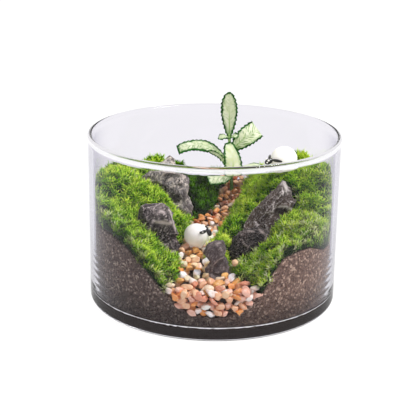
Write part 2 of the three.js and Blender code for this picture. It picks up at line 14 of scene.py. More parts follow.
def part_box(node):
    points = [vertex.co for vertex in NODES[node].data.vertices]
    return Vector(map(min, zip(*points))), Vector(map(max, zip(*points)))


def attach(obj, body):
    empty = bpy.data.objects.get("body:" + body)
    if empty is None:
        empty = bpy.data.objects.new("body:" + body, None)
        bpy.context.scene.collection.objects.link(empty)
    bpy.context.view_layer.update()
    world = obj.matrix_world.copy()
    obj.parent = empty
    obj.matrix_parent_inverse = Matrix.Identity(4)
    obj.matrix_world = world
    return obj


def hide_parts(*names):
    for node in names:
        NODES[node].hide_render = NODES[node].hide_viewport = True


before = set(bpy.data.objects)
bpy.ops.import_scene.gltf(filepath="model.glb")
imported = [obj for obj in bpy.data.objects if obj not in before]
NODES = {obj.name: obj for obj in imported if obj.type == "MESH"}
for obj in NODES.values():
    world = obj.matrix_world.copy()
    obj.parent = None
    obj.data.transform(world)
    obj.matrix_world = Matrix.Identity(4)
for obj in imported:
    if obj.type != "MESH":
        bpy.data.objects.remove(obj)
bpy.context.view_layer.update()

MM = 0.001

# The camera, fitted to the photograph.
FRAME_PIXELS = 416
FOCAL_PIXELS = 1129.8
FRAME_CENTRE = (213.38, 213.59)
VIEW_DISTANCE = 684.2
VIEW_TILT = 18.70
VIEW_ROLL = 0.99

# The glass.
JAR_HEIGHT = 102
LIP_RADIUS = 75
LIP_THICKNESS = 2.8
LIP_HEIGHT = 5
BODY_RADIUS = 74.7
WALL = 2.6
FLOOR = 7
FOOT_CORNER = 3.5
INNER_CORNER = 2.5
GLASS_STEPS = 256
GLASS_IOR = 1.48
VEIL_POWER = 1.45
DEEPEST_PATH = 5.5

# The mirrored band on the lip: how strong it is, and in metres the radius where it starts and the
# heights where it comes in and goes out.
LIP_SHINE = 0.75
LIP_SHINE_RADIUS = (0.0738, 0.0742)
LIP_SHINE_HEIGHTS = ((0.0977, 0.0987), (0.1013, 0.1009))

# Faint ripples round the foot of the wall.
RIPPLE_TOP = 40
RIPPLE_PITCH = 4.2
RIPPLE_DEPTH = 0.045

# What fills the glass keeps inside this radius. Below the level given, moist soil swells towards the
# glass, and where it touches, it reaches this deep into it.
FILL_RADIUS = 71
MOIST_LEVEL = 14
MOIST_SWELL = 0.7
SOIL_OVERLAP = 0.05
CRUMB_HEIGHT = 0.55

# How fine the CAD forms are made anew, by the size of a voxel.
SOIL_VOXEL = 1.4
MOSS_VOXEL = 1.3
STONE_VOXEL = 0.6
SHEEP_VOXELS = (0.34, 0.16, 0.1)

# The gravel path. From the place given on to the back, its pebbles are smaller.
PATH_FRONT_LEVEL = 26.8
PATH_RISE = 0.2
PATH_BACK_START = 34
PATH_BACK_RISE = 0.12
PEBBLE_SIZE = (3.3, 2.7, 2.1)
PEBBLE_SPACING = 4.2
GLASS_PEBBLE_SPACING = 3.6
PEBBLE_TRIES = 5000
PEBBLE_FLATS = 9
SMALL_PEBBLES_FROM = -4
SMALL_PEBBLE_SHARE = 0.78

# Moss shoots: stars of narrow leaves, with their shades at the root, the middle and the tip; the dark
# root is partly the moss's own colour and partly painted shade.
SHOOTS_PER_MM2 = 0.17
LEAVES_PER_SHOOT = 12
MOSS_LEAF_LENGTH = (2.6, 4.8)
MOSS_LEAF_WIDTH = 0.72
MOSS_STEM = (0.8, 3.2)
MOSS_SHADES = (0.12, 0.75, 1.15)

# Moss cushions: how yellow their green is, how many of their shoots have faded, how much light or
# shade is painted on them, and how tall they have grown.
MOSS_CUSHIONS = {
    "moss_left_ridge": (0.72, 0.03, 1.05, 1),
    "moss_left_front": (0.5, 0.17, 1.05, 1),
    "moss_back_left": (0.4, 0.03, 1.05, 0.85),
    "moss_back_centre": (0.5, 0.02, 0.45, 0.8),
    "moss_right_strip": (0.58, 0.06, 0.8, 0.9),
    "moss_right_back": (0.45, 0.05, 1.35, 1),
    "moss_right_front": (0.5, 0.2, 1.25, 1),
    "moss_centre": (0.8, 0.08, 1.5, 0.8),
}

# Sheep figures: radius of the ball body, where it stands and the way it looks. In parts of the radius:
# how far the head is ahead of the middle of the body and above it, half the length and half the height
# of an ear, and the white marks on the head, by half-lengths and place. The head leans back by an angle.
SHEEP = {
    "sheep_front": dict(
        radius=7.4, stands=(-9.7, -22, 37.8), turn=-15, ahead=1, above=0.36, ear=0.38, lobe=0.15,
        lean=0.52, marks=[((0.1, 0.09, 0.1), (0.09, -0.06, 0.31)),
                          ((0.055, 0.05, 0.045), (-0.305, -0.68, 0.19)),
                          ((0.055, 0.05, 0.045), (-0.305, 0.68, 0.19))]),
    "sheep_back": dict(
        radius=8.4, stands=(42.2, 12, 74.1), turn=205, ahead=1.22, above=-0.03, ear=0.45, lobe=0.11,
        lean=1.25, marks=[((0.09, 0.06, 0.08), (0.117, -0.17, 0.1)),
                          ((0.09, 0.06, 0.08), (0.117, 0.17, 0.113)),
                          ((0.06, 0.05, 0.06), (0.212, 0.15, -0.03))]),
}
SHEEP_BODY = (1, 0.9, 0.95)
EAR_ROOT = (-0.1, 0.19)
EAR_SPREAD = 0.98

# The plant: a stem with leaves, each leaf a midrib of three points and the way its width lies.
STEM_ROUTE = [(12, 47, 38), (11.6, 46, 52), (10.6, 44.5, 66), (9.6, 43, 79), (9.1, 42, 90)]
STEM_RADIUS = 1.2
# A leaf's glow is painted light: how strongly it gives off its own colour.
Leaf = namedtuple("Leaf", "width fullest tip across margin mottle glow rib cup cut",
                  defaults=(0.1, False))
LEAVES = [
    Leaf(10.4, 0.62, 0.14, (1, -0.1, 0), 1.4, 0.35, 0.16,
         [(9.1, 42, 87.5), (9.2, 43.5, 103), (8.4, 40, 117.2)], cup=0.26),
    Leaf(12.6, 0.75, 0.95, (0.7, -0.25, -0.67), 1.3, 0.85, 0.16,
         [(10.4, 42.8, 78.5), (18, 38.5, 88.5), (26.7, 45, 92.6)], cut=True),
    Leaf(8.2, 0.6, 0.9, (-0.15, -0.72, -0.66), 1.5, 0.8, 0.14,
         [(10.2, 44, 69), (-4.5, 37, 91), (-23.2, 38, 80)], cup=0.12),
    Leaf(11.4, 0.38, 0.3, (1, 0.1, 0), 1.3, 0.1, 0.46,
         [(11, 45, 60.5), (14, 32.5, 71.5), (8.1, 36, 86)], cup=0.14),
    Leaf(9.6, 0.5, 0.6, (0.1, -0.72, -0.69), 0.9, 0.8, 0.55,
         [(11, 44.5, 59.4), (5, 40.5, 62.8), (-4, 36, 60.6)]),
    Leaf(7, 0.6, 0.15, (0.1, 1, 0.1), 1.6, 0.4, 0.1,
         [(10.9, 44.8, 62), (20.5, 46, 70.8), (30.8, 48, 67.6)]),
    Leaf(4.4, 0.6, 0.3, (0.2, -0.7, -0.5), 0.9, 0.3, 0.2,
         [(9.2, 42, 87), (5.5, 40.5, 90.4), (2.2, 40, 87)]),
    Leaf(4.6, 0.6, 0.3, (-0.2, -0.7, -0.5), 1, 1, 0.1,
         [(9.2, 42, 87), (12.8, 40.5, 90.4), (14.6, 40, 88)]),
    Leaf(3.2, 0.5, 0.3, (0.75, -0.2, 0.6), 0.8, 0.2, 0.2,
         [(10.2, 43.8, 65.5), (4.4, 38.5, 78.2), (-4, 37, 80.1)]),
]
LEAF_VALUES = ("lane", "along", "inset", "margin", "mottle", "glow")
LEAF_STEPS = 64
LEAF_LANES = 14
LEAF_THICKNESS = 0.7
LEAF_EDGE_THICKNESS = 0.3
TOOTH_SPACING = 2.6
TOOTH_DEPTH = 0.9

# The bowl stands on a table with a film of air between. A wide sun shines on it from the right.
TABLE_GAP = 0.3
SUN_PLACE = (430, -70, 800)
SUN_TARGET = (0, 0, 50)
SUN_POWER = 3.2
SUN_ANGLE = 20


# Colours and shader nodes.

def colour(code):
    """A colour written as #rrggbb, as the linear values that shaders take."""
    parts = [int(code[place:place + 2], 16) / 255 for place in (1, 3, 5)]
    linear = [part / 12.92 if part <= 0.04045 else ((part + 0.055) / 1.055) ** 2.4 for part in parts]
    return (*linear, 1)


def new_material(name):
    material = bpy.data.materials.new(name)
    material.use_nodes = True
    tree = material.node_tree
    return material, tree, tree.nodes["Principled BSDF"]


def feed(socket, value):
    """Link another socket to an input, or set a number, a vector or a #rrggbb colour on it."""
    if isinstance(value, bpy.types.NodeSocket):
        socket.id_data.links.new(value, socket)
    else:
        socket.default_value = colour(value) if isinstance(value, str) else value


def fill(made, **inputs):
    """Feed the inputs of a node by name, with _ for a space."""
    for name, value in inputs.items():
        feed(made.inputs[name.replace("_", " ")], value)


def node(tree, kind, settings=None, **inputs):
    made = tree.nodes.new("ShaderNode" + kind)
    for name, value in (settings or {}).items():
        setattr(made, name, value)
    fill(made, **inputs)
    return made


def attribute(tree, name, output="Fac"):
    return node(tree, "Attribute", {"attribute_name": name}).outputs[output]


def maths(operation, first, second=0):
    made = node(first.id_data, "Math", {"operation": operation})
    feed(made.inputs[0], first)
    feed(made.inputs[1], second)
    return made.outputs[0]


def times(first, second):
    return maths("MULTIPLY", first, second)


def between(value, low, high):
    """0 below low, 1 above high, and smooth between them."""
    made = node(value.id_data, "MapRange", {"interpolation_type": "SMOOTHSTEP"}, Value=value,
                From_Min=low, From_Max=high)
    return made.outputs["Result"]


def ramp(value, stops):
    """A colour that changes with a value, by stops of (place, #rrggbb)."""
    made = node(value.id_data, "ValToRGB", Fac=value)
    elements = made.color_ramp.elements
    while len(elements) < len(stops):
        elements.new(0.5)
    for element, (place, code) in zip(elements, stops):
        element.position = place
        element.color = colour(code)
    return made.outputs["Color"]


def mix(share, first, second, kind="MIX"):
    """first where share is 0 and second where it is 1; either is a socket or a #rrggbb colour."""
    tree = (first if isinstance(share, float) else share).id_data
    made = node(tree, "Mix", {"data_type": "RGBA", "blend_type": kind})
    for place, value in ((0, share), (6, first), (7, second)):
        feed(made.inputs[place], value)
    return made.outputs[2]


def noise_at(where, size, detail=3, roughness=0.5):
    """Soft noise with lumps of the given size in millimetres."""
    made = node(where.id_data, "TexNoise", Vector=where, Scale=1 / (size * MM), Detail=detail,
                Roughness=roughness)
    return made.outputs["Fac"]


def cell_draw(where, size):
    """A random value between 0 and 1 for each cell of the given size in millimetres."""
    made = node(where.id_data, "TexVoronoi", Vector=where, Scale=1 / (size * MM))
    return node(where.id_data, "SeparateColor", Color=made.outputs["Color"]).outputs["Red"]


def object_place(tree):
    return node(tree, "TexCoord").outputs["Object"]


def axis(vector, name="Z"):
    return node(vector.id_data, "SeparateXYZ", Vector=vector).outputs[name]


def facing_up(tree):
    """1 where the surface faces up, 0 where it is upright and -1 where it faces down."""
    return axis(node(tree, "NewGeometry").outputs["Normal"])


def stretched(where, turn, scale):
    """Coordinates turned by degrees about X, Y and Z, then scaled."""
    angles = [radians(angle) for angle in turn]
    made = node(where.id_data, "Mapping", Vector=where, Rotation=angles, Scale=scale)
    return made.outputs["Vector"]


def bump(shader, height, depth, strength):
    """Relief of the given depth in millimetres."""
    made = node(shader.id_data, "Bump", Height=height, Distance=depth * MM, Strength=strength)
    feed(shader.inputs["Normal"], made.outputs["Normal"])


def mix_shaders(share, first, second):
    made = node(first.id_data, "MixShader", Fac=share)
    feed(made.inputs[1], first.outputs[0])
    feed(made.inputs[2], second.outputs[0])
    return made


def show(shader):
    feed(shader.id_data.nodes["Material Output"].inputs["Surface"], shader.outputs[0])


# Materials. Lengths in them, such as between's limits for a height, are in metres.

def glass_material():
    """Clear glass, grey where it turns away and bright on the lip; light long caught in it passes out."""
    material, tree, plain = new_material("clear_glass")
    tree.nodes.remove(plain)
    where = object_place(tree)
    height = axis(where)
    turned = between(node(tree, "LayerWeight", Blend=0.5).outputs["Facing"], 0.5, 0.95)
    edge = times(turned, between(height, 0.1, 0.095))
    grey = mix(between(height, 0.02, 0.075), "#b3b2b9", "#d4d3dc")
    bent = node(tree, "BsdfRefraction", Color=mix(edge, "#f5f4f7", grey), Roughness=0, IOR=GLASS_IOR)
    mirrored = node(tree, "BsdfGlossy", Color="#ffffff", Roughness=0)
    veil = maths("POWER", node(tree, "Fresnel", IOR=GLASS_IOR).outputs["Fac"], VEIL_POWER)
    reach = node(tree, "VectorMath", {"operation": "LENGTH"},
                 Vector=stretched(where, (0, 0, 0), (1, 1, 0))).outputs["Value"]
    inside = node(tree, "NewGeometry").outputs["Backfacing"]
    shine = maths("SUBTRACT", between(reach, *LIP_SHINE_RADIUS), inside)
    for low, high in LIP_SHINE_HEIGHTS:
        shine = times(shine, between(height, low, high))
    share = maths("MAXIMUM", veil, times(shine, LIP_SHINE))
    glass = mix_shaders(share, bent, mirrored)
    path = node(tree, "LightPath")
    soft = maths("MAXIMUM", path.outputs["Is Shadow Ray"], path.outputs["Is Diffuse Ray"])
    deep = maths("GREATER_THAN", path.outputs["Ray Depth"], DEEPEST_PATH)
    clear = node(tree, "BsdfTransparent", Color="#f9f8f9")
    show(mix_shaders(maths("MAXIMUM", soft, deep), glass, clear))
    return material


def soil_material():
    """Dark potting soil with crumbs and pale grit, lighter and warmer to the right, darker towards the
    floor (moist soil and painted shade) and in painted shade where it faces down.
    """
    material, tree, shader = new_material("potting_soil")
    where = object_place(tree)
    crumbs = noise_at(where, 1.3, 5, 0.7)
    grains = ramp(cell_draw(where, 0.95),
                  [(0, "#241c1a"), (0.5, "#574a44"), (0.84, "#7d6c62"), (0.96, "#cdbba8")])
    lumps = ramp(crumbs, [(0.34, "#302623"), (0.5, "#5e5049"), (0.66, "#8f7d72")])
    ground = mix(0.45, grains, lumps)
    patches = noise_at(where, 16)
    side = maths("ADD", axis(where, "X"), times(patches, 0.04))
    # Lighter and warmer towards the right side.
    lighter_right = mix(between(side, 0, 0.06), ground, "#eadacf", "SOFT_LIGHT")
    # Darker towards the floor: partly moist soil, partly painted shade that the glass does not cast.
    depth = between(axis(where), 0.03, 0.004)
    moist = mix(times(depth, 0.8), lighter_right, "#1a1413")
    # Painted shade where the soil faces down.
    under = between(facing_up(tree), -0.5, -0.9)
    fill(shader, Base_Color=mix(under, moist, "#2f2725"), Roughness=0.92, Specular_IOR_Level=0.2)
    bump(shader, crumbs, 0.6, 0.9)
    return material


def gravel_material():
    """Polished gravel: each grain has its own colour, with veins and stains across it."""
    material, tree, shader = new_material("gravel")
    where = object_place(tree)
    stains = between(noise_at(where, 2.4, 4, 0.6), 0.46, 0.66)
    layers = stretched(where, (20, 40, 10), (1, 1, 3.2))
    veins = between(noise_at(layers, 1.6, 4), 0.56, 0.66)
    grain = attribute(tree, "grain", "Color")
    stained = mix(times(stains, 0.36), grain, "#d98f58", "MULTIPLY")
    fill(shader, Base_Color=mix(times(veins, 0.5), stained, "#f1e3d0"), Roughness=0.38)
    bump(shader, noise_at(where, 0.7, 4), 0.12, 0.5)
    return material


def moss_material():
    """Moss leaves: dark at the root, light at the tip, from deep green to yellow green; the dark root is
    partly painted shade.
    """
    material, tree, shader = new_material("moss")
    shade = attribute(tree, "shade")
    deep = ramp(shade, [(0, "#040701"), (0.2, "#183804"), (0.45, "#4c900a"), (0.8, "#a6d82c")])
    fresh = ramp(shade, [(0, "#081002"), (0.2, "#366004"), (0.45, "#8ecc0a"), (0.8, "#eafa5c")])
    green = mix(attribute(tree, "tint"), deep, fresh)
    dry = ramp(shade, [(0, "#1e1a0c"), (0.4, "#a09c60"), (0.8, "#ecebc8")])
    fill(shader, Base_Color=mix(attribute(tree, "fade"), green, dry), Roughness=0.5,
         Specular_IOR_Level=0.06)
    return material


def stone_material(name, look):
    """Rough stone: a grain along it, dark hollows, a crust, more of it where it faces up (crust and
    painted light on the tops), pale worn edges and painted highlights along lines.
    """
    material, tree, shader = new_material(name)
    crust = look.crust
    where = object_place(tree)
    along = stretched(where, (0, look.lean, 0), look.scale)
    grain = noise_at(along, 2, 6, 0.7)
    fine = noise_at(where, 0.7, 5, 0.8)
    small = maths("ADD", times(grain, 0.9), times(fine, 1.4))
    tone = times(maths("ADD", small, noise_at(where, 7)), 1 / 3.3)
    patches = noise_at(where, 5.5, 4, 0.7)
    # More crust where the stone faces up: partly crust, partly painted light on the tops.
    crust_and_top_light = maths("ADD", times(facing_up(tree), 0.2), patches)
    cover = between(crust_and_top_light, 0.86 - look.crust_share, 0.98 - look.crust_share)
    flecks = between(noise_at(where, 1.5, 4, 0.7), 0.44, 0.56)
    crusted = mix(times(cover, flecks), ramp(tone, look.stops), crust)
    # Painted highlights along the given lines, joined with the pale worn edges.
    bare = times(attribute(tree, "bare"), 0.9)
    edges = maths("MAXIMUM", attribute(tree, "worn"), bare)
    pale = times(edges, between(tone, 0.36, 0.5))
    fill(shader, Base_Color=mix(pale, crusted, crust), Roughness=0.85, Specular_IOR_Level=0.3)
    bump(shader, small, 0.4, 0.8)
    return material


def leaf_material():
    """Cream blades with green veins, mottling and dark margins; their glow is painted light, an emission
    standing for light scattered in them.
    """
    material, tree, shader = new_material("leaf")
    lane = maths("ABSOLUTE", attribute(tree, "lane"))
    along = attribute(tree, "along")
    blade = attribute(tree, "blade", "Vector")
    wander = times(noise_at(blade, 1.3, 3, 0.6), 0.0028)
    inset = maths("ADD", attribute(tree, "inset"), wander)
    inside = maths("SUBTRACT", inset, attribute(tree, "margin"))
    veins = stretched(blade, (0, 0, 0), (0.3, 1, 1))
    dashes = between(noise_at(veins, 0.75, 3, 0.6), 0.5, 0.6)
    streaks = times(times(dashes, attribute(tree, "mottle")), 0.9)
    blots = between(noise_at(veins, 1.3, 2), 0.62, 0.7)
    spots = times(times(blots, between(lane, 0.3, 0.75)), 0.7)
    cream = ramp(noise_at(blade, 3.5), [(0.3, "#e0e7c2"), (0.7, "#fbfbea")])
    veined = mix(streaks, cream, "#6c9a3a")
    spotted = mix(spots, veined, "#2f6a2c")
    rib = times(between(lane, 0.16, 0.02), between(along, 0.75, 0.1))
    ribbed = mix(times(rib, 0.85), spotted, "#8cbc50")
    neck = between(along, 0.24, 0)
    greener = mix(times(neck, 0.85), ribbed, "#568c30")
    halo = between(inside, 0.0026, 0.001)
    haloed = mix(times(halo, 0.35), greener, "#8fc070")
    margins = ramp(noise_at(blade, 2.4, 3, 0.6), [(0.4, "#0b3f06"), (0.62, "#34752a")])
    painted = mix(between(inside, 0.0014, 0.001), haloed, margins)
    # The emission is painted light, standing for light scattered in the leaf.
    fill(shader, Base_Color=painted, Emission_Color=painted, Roughness=0.42,
         Emission_Strength=attribute(tree, "glow"), Specular_IOR_Level=0.12)
    bump(shader, dashes, 0.1, 0.5)
    show(mix_shaders(0.3, shader, node(tree, "BsdfTranslucent", Color=painted)))
    return material


def stem_material():
    """A soft green stem, darker towards the soil."""
    material, tree, shader = new_material("stem")
    where = object_place(tree)
    streaks = noise_at(stretched(where, (0, 0, 0), (3, 3, 1)), 1.5)
    low = ramp(streaks, [(0.35, "#2a5a20"), (0.65, "#558a3c")])
    high = ramp(streaks, [(0.35, "#86b35a"), (0.65, "#c4dba0")])
    upward = between(axis(where), 0.05, 0.078)
    fill(shader, Base_Color=mix(upward, low, high), Roughness=0.5)
    bump(shader, streaks, 0.15, 0.5)
    return material


def glaze_material(name, low, high, roughness, glow):
    """Glazed ceramic with the faint unevenness of a brushed glaze; glow is painted light, an emission
    standing for light inside it.
    """
    material, tree, shader = new_material(name)
    pooling = noise_at(object_place(tree), 2.5)
    fill(shader, Base_Color=ramp(pooling, [(0.3, low), (0.7, high)]), Emission_Color=low,
         Emission_Strength=glow, Roughness=roughness, Coat_Weight=0.5, Coat_Roughness=0.08)
    bump(shader, pooling, 0.15, 0.3)
    return material


def table_material():
    """A plain white table, lit from within so that it has no shadows."""
    material, tree, shader = new_material("table")
    tone = ramp(noise_at(object_place(tree), 40, 2), [(0.3, "#3c3c3c"), (0.7, "#404040")])
    fill(shader, Base_Color=tone, Emission_Color="#ffffff", Emission_Strength=0.98,
         Roughness=0.9, Specular_IOR_Level=0.1)
    return material


# Meshes.

def point_values(mesh, field):
    flat = np.empty(len(mesh.vertices) * 3, dtype=np.float32)
    mesh.vertices.foreach_get(field, flat)
    return flat.reshape(-1, 3).astype(float)


def mesh_points(mesh):
    """A mesh's points in millimetres."""
    return point_values(mesh, "co") / MM


def place_points(mesh, points):
    mesh.vertices.foreach_set("co", (points * MM).astype(np.float32).ravel())
    mesh.update()


def mesh_normals(mesh):
    return point_values(mesh, "normal")


def store(mesh, name, values, kind="FLOAT"):
    """Keep a value for each point of a mesh, for its material to read."""
    made = mesh.attributes.new(name, kind, "POINT")
    field = {"FLOAT": "value", "FLOAT_VECTOR": "vector", "FLOAT_COLOR": "color"}[kind]
    made.data.foreach_set(field, np.asarray(values, dtype=np.float32).ravel())


def put_in_scene(name, data):
    made = bpy.data.objects.new(name, data)
    bpy.context.scene.collection.objects.link(made)
    return made


def add_piece(name, mesh, materials, slot, *replaced):
    """Put a finished mesh in the scene, in place of the nodes it stands for."""
    piece = put_in_scene(name, mesh)
    for material in materials:
        mesh.materials.append(material)
    mesh.shade_smooth()
    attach(piece, "root")
    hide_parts(*replaced)


def mesh_of(name, points, faces):
    mesh = bpy.data.meshes.new(name)
    mesh.from_pydata((np.asarray(points, dtype=float) * MM).tolist(), [], faces)
    mesh.update()
    return mesh


def refined(mesh, name, voxel, smoothing):
    """An even, finer copy of a mesh, its corners eased."""
    carrier = put_in_scene(name, mesh.copy())
    remesh = carrier.modifiers.new("even", "REMESH")
    remesh.mode = "VOXEL"
    remesh.voxel_size = voxel * MM
    soften = carrier.modifiers.new("soften", "SMOOTH")
    soften.iterations = smoothing
    view = bpy.context.evaluated_depsgraph_get()
    fine = bpy.data.meshes.new_from_object(carrier.evaluated_get(view))
    rough = carrier.data
    bpy.data.objects.remove(carrier)
    bpy.data.meshes.remove(rough)
    fine.name = name
    fine.materials.clear()
    return fine


def solid_tree(names):
    """The surfaces of several nodes, in millimetres, for casting rays at."""
    points = []
    faces = []
    for name in names:
        mesh = NODES[name].data
        start = len(points)
        points.extend(mesh_points(mesh).tolist())
        faces.extend([[start + corner for corner in face.vertices] for face in mesh.polygons])
    return BVHTree.FromPolygons(points, faces)


def keep_in_glass(points, radius=FILL_RADIUS):
    """Press points that reach past the inside of the glass back against it."""
    reach = np.hypot(points[:, 0], points[:, 1])
    share = np.minimum(1, radius / np.maximum(reach, 1e-6))
    points[:, :2] *= share[:, None]
    return points


def unit(vectors):
    return vectors / np.maximum(np.linalg.norm(vectors, axis=-1, keepdims=True), 1e-9)


def ring_faces(rings, sides):
    """Faces between rings of points that follow one another."""
    faces = []
    for low in range(0, (rings - 1) * sides, sides):
        for side in range(sides):
            beside = (side + 1) % sides
            faces.append((low + side, low + beside, low + sides + beside, low + sides + side))
    return faces


# Glass.

def corner(radius, height, size, first, last, steps):
    """Points of a round corner, by its centre, radius and first and last angle in degrees."""
    angles = np.radians(np.linspace(first, last, steps + 1))
    return [(radius + size * cos(angle), height + size * sin(angle)) for angle in angles]


def rippled(height):
    """Radius of the wall where it is rippled: the ripples fade out upwards."""
    share = sin(pi * (height - FOOT_CORNER) / (RIPPLE_TOP - FOOT_CORNER))
    return BODY_RADIUS - RIPPLE_DEPTH * share * (1 - cos(2 * pi * height / RIPPLE_PITCH))


def make_jar(material):
    inner = BODY_RADIUS - WALL
    lip = LIP_THICKNESS / 2
    profile = [
        (BODY_RADIUS * 0.5, 0),
        *corner(BODY_RADIUS - FOOT_CORNER, FOOT_CORNER, FOOT_CORNER, -90, 0, 12),
        *[(rippled(height), height) for height in np.arange(FOOT_CORNER + 0.7, RIPPLE_TOP, 0.7)],
        *[(BODY_RADIUS, height) for height in (55, 80, JAR_HEIGHT - LIP_HEIGHT)],
        *corner(LIP_RADIUS - lip, JAR_HEIGHT - lip, lip, -40, 180, 20),
        (inner, JAR_HEIGHT - LIP_HEIGHT),
        *[(inner, height) for height in (80, 55, 30)],
        *corner(inner - INNER_CORNER, FLOOR + INNER_CORNER, INNER_CORNER, 0, -90, 10),
        (inner * 0.5, FLOOR),
    ]
    turn = np.arange(GLASS_STEPS) * 2 * pi / GLASS_STEPS
    rings = [np.stack([r * np.cos(turn), r * np.sin(turn), np.full(GLASS_STEPS, z)], axis=1)
             for r, z in profile]
    points = np.concatenate([*rings, [[0, 0, 0], [0, 0, FLOOR]]])
    faces = ring_faces(len(profile), GLASS_STEPS)
    under, inside = len(points) - 2, len(points) - 1
    last = (len(profile) - 1) * GLASS_STEPS
    for step in range(GLASS_STEPS):
        beside = (step + 1) % GLASS_STEPS
        faces.append((under, beside, step))
        faces.append((inside, last + step, last + beside))
    add_piece("glass_bowl", mesh_of("glass_bowl", points, faces), [material], "clear_glass", "glass_jar")


# Soil.

def glass_reach(heights):
    """Radius of the inside of the glass at each height."""
    below = np.clip(FLOOR + INNER_CORNER - heights, 0, INNER_CORNER)
    return BODY_RADIUS - WALL - INNER_CORNER + np.sqrt(INNER_CORNER ** 2 - below ** 2)


def make_soil(material):
    """The CAD soil with crumbs on its surface, moist enough at the bottom to wet the glass."""
    mesh = refined(NODES["soil"].data, "soil_fill", SOIL_VOXEL, 2)
    points = mesh_points(mesh)
    moist = np.clip((MOIST_LEVEL - points[:, 2]) / (MOIST_LEVEL - FLOOR), 0, 1)
    crumbs = np.array([noise.fractal(Vector(point) * 0.45, 0.7, 2.1, 3) for point in points])
    points += mesh_normals(mesh) * (CRUMB_HEIGHT * crumbs + MOIST_SWELL * moist)[:, None]
    touching = glass_reach(points[:, 2]) + SOIL_OVERLAP
    keep_in_glass(points, FILL_RADIUS + (touching - FILL_RADIUS) * moist)
    points[points[:, 2] < FLOOR + 1.2, 2] = FLOOR - SOIL_OVERLAP
    place_points(mesh, points)
    add_piece("soil_fill", mesh, [material], "potting_soil", "soil")


# Gravel.

GRAVEL_COLOURS = {
    "white": "#faeee2", "cream": "#f7ddbc", "peach": "#f4c096", "orange": "#ec9f56",
    "ochre": "#dfa75c", "pink": "#edbba2", "salmon": "#e29a7a", "rust": "#b8602e",
    "brown": "#8a5230",
}
# The mixes of grains from the front of the path to its end: how far back each goes, its brightness, which
# is painted light in the front half and painted shade further back, and how often each colour comes up.
GRAVEL_MIXES = [
    (-56, 1.08, {"white": 3, "cream": 3, "peach": 5, "orange": 3, "pink": 3, "salmon": 3, "ochre": 1}),
    (2, 1.3, {"white": 5, "cream": 4, "peach": 8, "orange": 4, "ochre": 2, "pink": 2}),
    (22, 0.9, {"cream": 2, "peach": 4, "orange": 6, "ochre": 2, "rust": 2, "white": 1}),
    (45, 0.5, {"peach": 2, "orange": 6, "rust": 6, "salmon": 1, "brown": 2, "cream": 1}),
    (90, 1, {"peach": 4, "orange": 4, "salmon": 3, "cream": 3, "rust": 3}),
]


def path_level(y):
    return PATH_FRONT_LEVEL + PATH_RISE * (y + FILL_RADIUS) + PATH_BACK_RISE * max(0, y - PATH_BACK_START)


def grain_shape():
    """Points and faces of a fine ball, as the start of a grain."""
    ball = bmesh.new()
    bmesh.ops.create_icosphere(ball, subdivisions=3, radius=1)
    points = np.array([vertex.co for vertex in ball.verts])
    faces = np.array([[vertex.index for vertex in face.verts] for face in ball.faces])
    ball.free()
    return points, faces


def make_grain(ball, size, rng):
    """A pebble: a ball with worn flats, stretched, bent a little and turned."""
    points = ball.copy()
    for _ in range(PEBBLE_FLATS):
        flat = unit(rng.normal(size=3))
        over = np.maximum(points @ flat - rng.uniform(0.5, 0.85), 0)
        points -= over[:, None] * flat * 0.95
    seat = Vector(rng.uniform(-50, 50, 3))
    points *= np.array([1 + 0.16 * noise.noise(Vector(point) * 1.4 + seat) for point in points])[:, None]
    points *= np.array(size) * rng.uniform(0.72, 1.22, 3)
    turn = Matrix.Rotation(rng.uniform(0, 2 * pi), 3, "Z") @ Matrix.Rotation(
        rng.uniform(-0.7, 0.7), 3, "X") @ Matrix.Rotation(rng.uniform(-0.7, 0.7), 3, "Y")
    return points @ np.array(turn).T


def spread(candidates, spacing):
    """The candidates that keep the spacing from those before them."""
    kept = []
    for candidate in candidates:
        if all(dist(candidate, other) > spacing for other in kept):
            kept.append(candidate)
    return kept


def gravel_places(rng):
    """Grains on the path in two layers, and grains pressed against the glass in front."""
    heap = solid_tree(["gravel_path"])
    places = []
    for drop, spacing in ((0.9, PEBBLE_SPACING), (-1.4, PEBBLE_SPACING + 0.5)):
        tries = zip(rng.uniform(-40, 40, PEBBLE_TRIES), rng.uniform(-70, 70, PEBBLE_TRIES))
        over = [(x, y) for x, y in tries if hypot(x, y) < FILL_RADIUS - 2.2
                and heap.ray_cast(Vector((x, y, 130)), Vector((0, 0, -1)))[0] is not None]
        front = [place for place in over if place[1] < SMALL_PEBBLES_FROM]
        back = [place for place in over if place[1] >= SMALL_PEBBLES_FROM]
        kept = spread(front, spacing) + spread(back, spacing * SMALL_PEBBLE_SHARE)
        places += [(x, y, path_level(y) + drop + rng.uniform(-0.6, 0.6)) for x, y in kept]
    for inset, spacing in ((1.7, GLASS_PEBBLE_SPACING), (4.2, GLASS_PEBBLE_SPACING + 0.8)):
        at_glass = []
        for _ in range(PEBBLE_TRIES):
            turn = radians(rng.uniform(235, 305))
            height = rng.uniform(15.5, 28)
            outward = Vector((cos(turn), sin(turn), 0))
            found = heap.ray_cast(outward * 90 + Vector((0, 0, height)), -outward)[0]
            if found is not None and hypot(found.x, found.y) > FILL_RADIUS - 1.2:
                at_glass.append(tuple(outward * (FILL_RADIUS - inset) + Vector((0, 0, height))))
        places += spread(at_glass, spacing)
    return places


def grain_colour(y, rng):
    """A colour drawn from the mix of its part of the path, with that part's painted light and shade, a
    little lighter or darker.
    """
    place = y + rng.uniform(-4, 4)
    painted_brightness, shares = next(part[1:] for part in GRAVEL_MIXES if place < part[0])
    weights = np.array(list(shares.values()))
    name = rng.choice(list(shares), p=weights / weights.sum())
    base = np.array(colour(GRAVEL_COLOURS[name])[:3])
    # The part's brightness is painted light and shade.
    return (*np.minimum(base * painted_brightness * rng.uniform(0.85, 1.12), 0.95), 1)


